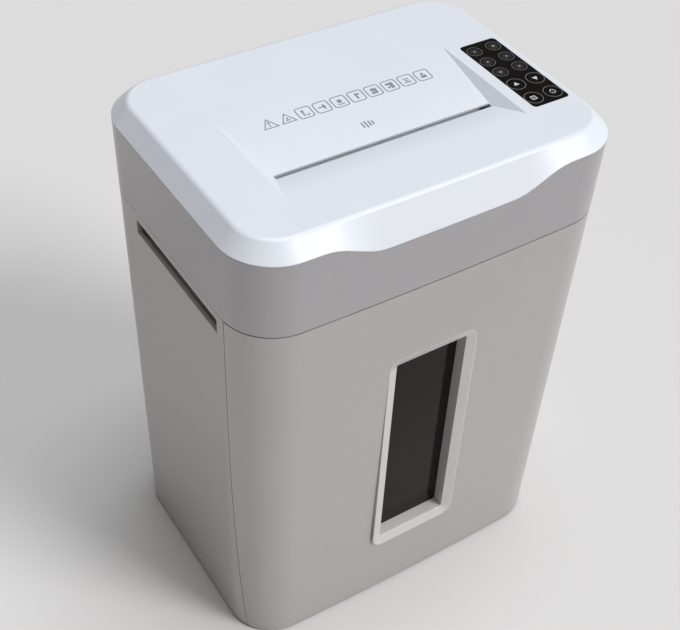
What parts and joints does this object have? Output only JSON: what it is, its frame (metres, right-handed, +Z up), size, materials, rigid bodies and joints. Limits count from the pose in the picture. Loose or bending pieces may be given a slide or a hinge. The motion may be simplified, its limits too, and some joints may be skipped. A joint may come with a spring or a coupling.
{
  "type": "paper shredder",
  "caption": "Floor-standing paper shredder with a white sloped lid, a long feed slot, a keypad and a taupe cabinet whose windowed bin slides out at the front.",
  "frame": {"origin": "middle of the bounding box's bottom face, on the floor under the feet", "axes": "+X to the right, -Y to the front where the bin window is, +Z up"},
  "size_m": [0.38, 0.281, 0.5215],
  "materials": {
    "white_plastic": "satin white, lightly textured",
    "taupe_plastic": "satin metallic taupe",
    "frame_plastic": "satin metallic taupe, lighter",
    "dark_plastic": "matte black",
    "bucket_plastic": "matte dark grey",
    "gloss_black": "gloss black",
    "lens_plastic": "tinted lens",
    "symbol_ink": "printed grey",
    "smoked_pane": "smoked clear",
    "tool_steel": "ground steel, oiled",
    "zinc_steel": "zinc plated",
    "bronze": "sintered bronze",
    "rotor_copper": "varnished winding",
    "nylon": "natural nylon",
    "rubber": "matte black rubber",
    "board_green": "solder mask"
  },
  "bodies": {
    "cabinet": {"cabinet_left": "taupe_plastic", "cabinet_right": "taupe_plastic", "cabinet_rear": "taupe_plastic", "base_tray": "dark_plastic", "top_frame": "dark_plastic", "grip_left": "taupe_plastic", "grip_right": "taupe_plastic", "rubber_feet": "rubber", "bin_runners": "nylon", "base_screws": "zinc_steel", "head_housing": "taupe_plastic", "head_tray": "dark_plastic", "top_cover": "white_plastic", "feed_throat": "white_plastic", "safety_symbols": "symbol_ink", "head_screws": "zinc_steel", "keypad_panel": "gloss_black", "keypad_board": "board_green", "indicator_lenses": "lens_plastic", "cord_gland": "dark_plastic", "interlock_switch": "dark_plastic", "side_plate_left": "zinc_steel", "side_plate_right": "zinc_steel", "gear_plate": "zinc_steel", "tie_rods": "tool_steel", "rod_nuts": "zinc_steel", "shaft_bushes": "bronze", "comb_front": "zinc_steel", "comb_rear": "zinc_steel", "gear_axles": "tool_steel", "motor_can": "zinc_steel", "motor_end_cap": "dark_plastic", "thermal_cutout": "dark_plastic", "power_board": "board_green", "board_standoffs": "bronze", "board_parts": "dark_plastic", "paper_sensors": "lens_plastic"},
    "bin": {"bin_bucket": "bucket_plastic", "bin_front": "taupe_plastic", "window_bezel": "frame_plastic", "window_pane": "smoked_pane", "bin_screws": "zinc_steel"},
    "power_key": {"key_power": "gloss_black"},
    "auto_key": {"key_auto": "gloss_black"},
    "forward_key": {"key_forward": "gloss_black"},
    "reverse_key": {"key_reverse": "gloss_black"},
    "front_cutter": {"cutter_shaft_front": "tool_steel", "cutter_discs_front": "tool_steel", "sync_gear_front": "tool_steel"},
    "rear_cutter": {"cutter_shaft_rear": "tool_steel", "cutter_discs_rear": "tool_steel", "sync_gear_rear": "tool_steel", "drive_gear": "tool_steel"},
    "second_wheel": {"second_gear": "nylon"},
    "first_wheel": {"first_gear": "nylon"},
    "rotor": {"motor_rotor": "rotor_copper", "motor_pinion": "tool_steel", "motor_fan": "nylon"},
    "plunger": {"interlock_plunger": "nylon"}
  },
  "joints": [
    {"name": "bin_slide", "type": "slide", "parent": "cabinet", "child": "bin", "axis": [0, -1, 0], "range_m": [0, 0.24]},
    {"name": "power_key_press", "type": "slide", "parent": "cabinet", "child": "power_key", "axis": [0, 0, -1], "range_m": [0, 0.0006], "stiffness_N_per_m": 1500, "springref_m": -0.0004},
    {"name": "auto_key_press", "type": "slide", "parent": "cabinet", "child": "auto_key", "axis": [0, 0, -1], "range_m": [0, 0.0006], "stiffness_N_per_m": 1500, "springref_m": -0.0004},
    {"name": "forward_key_press", "type": "slide", "parent": "cabinet", "child": "forward_key", "axis": [0, 0, -1], "range_m": [0, 0.0006], "stiffness_N_per_m": 1500, "springref_m": -0.0004},
    {"name": "reverse_key_press", "type": "slide", "parent": "cabinet", "child": "reverse_key", "axis": [0, 0, -1], "range_m": [0, 0.0006], "stiffness_N_per_m": 1500, "springref_m": -0.0004},
    {"name": "rotor_spin", "type": "hinge", "parent": "cabinet", "child": "rotor", "pos_m": [-0.0032, 0.08171, 0.4437], "axis": [1, 0, 0], "continuous": true},
    {"name": "first_wheel_spin", "type": "hinge", "parent": "cabinet", "child": "first_wheel", "pos_m": [-0.0032, 0.05053, 0.4617], "axis": [1, 0, 0], "continuous": true},
    {"name": "second_wheel_spin", "type": "hinge", "parent": "cabinet", "child": "second_wheel", "pos_m": [-0.0032, 0.01981, 0.44019], "axis": [1, 0, 0], "continuous": true},
    {"name": "rear_cutter_spin", "type": "hinge", "parent": "cabinet", "child": "rear_cutter", "pos_m": [-0.0032, -0.028, 0.453], "axis": [1, 0, 0], "continuous": true},
    {"name": "front_cutter_spin", "type": "hinge", "parent": "cabinet", "child": "front_cutter", "pos_m": [-0.0032, -0.061, 0.453], "axis": [1, 0, 0], "continuous": true},
    {"name": "plunger_slide", "type": "slide", "parent": "cabinet", "child": "plunger", "axis": [0, -1, 0], "range_m": [0, 0.004]}
  ],
  "couplings": [
    {"joint": "first_wheel_spin", "follows": "rotor_spin", "ratio": -0.2},
    {"joint": "second_wheel_spin", "follows": "rotor_spin", "ratio": 0.06087},
    {"joint": "rear_cutter_spin", "follows": "rotor_spin", "ratio": -0.016388},
    {"joint": "front_cutter_spin", "follows": "rotor_spin", "ratio": 0.016388},
    {"joint": "plunger_slide", "follows": "bin_slide", "ratio": 0.016667}
  ]
}
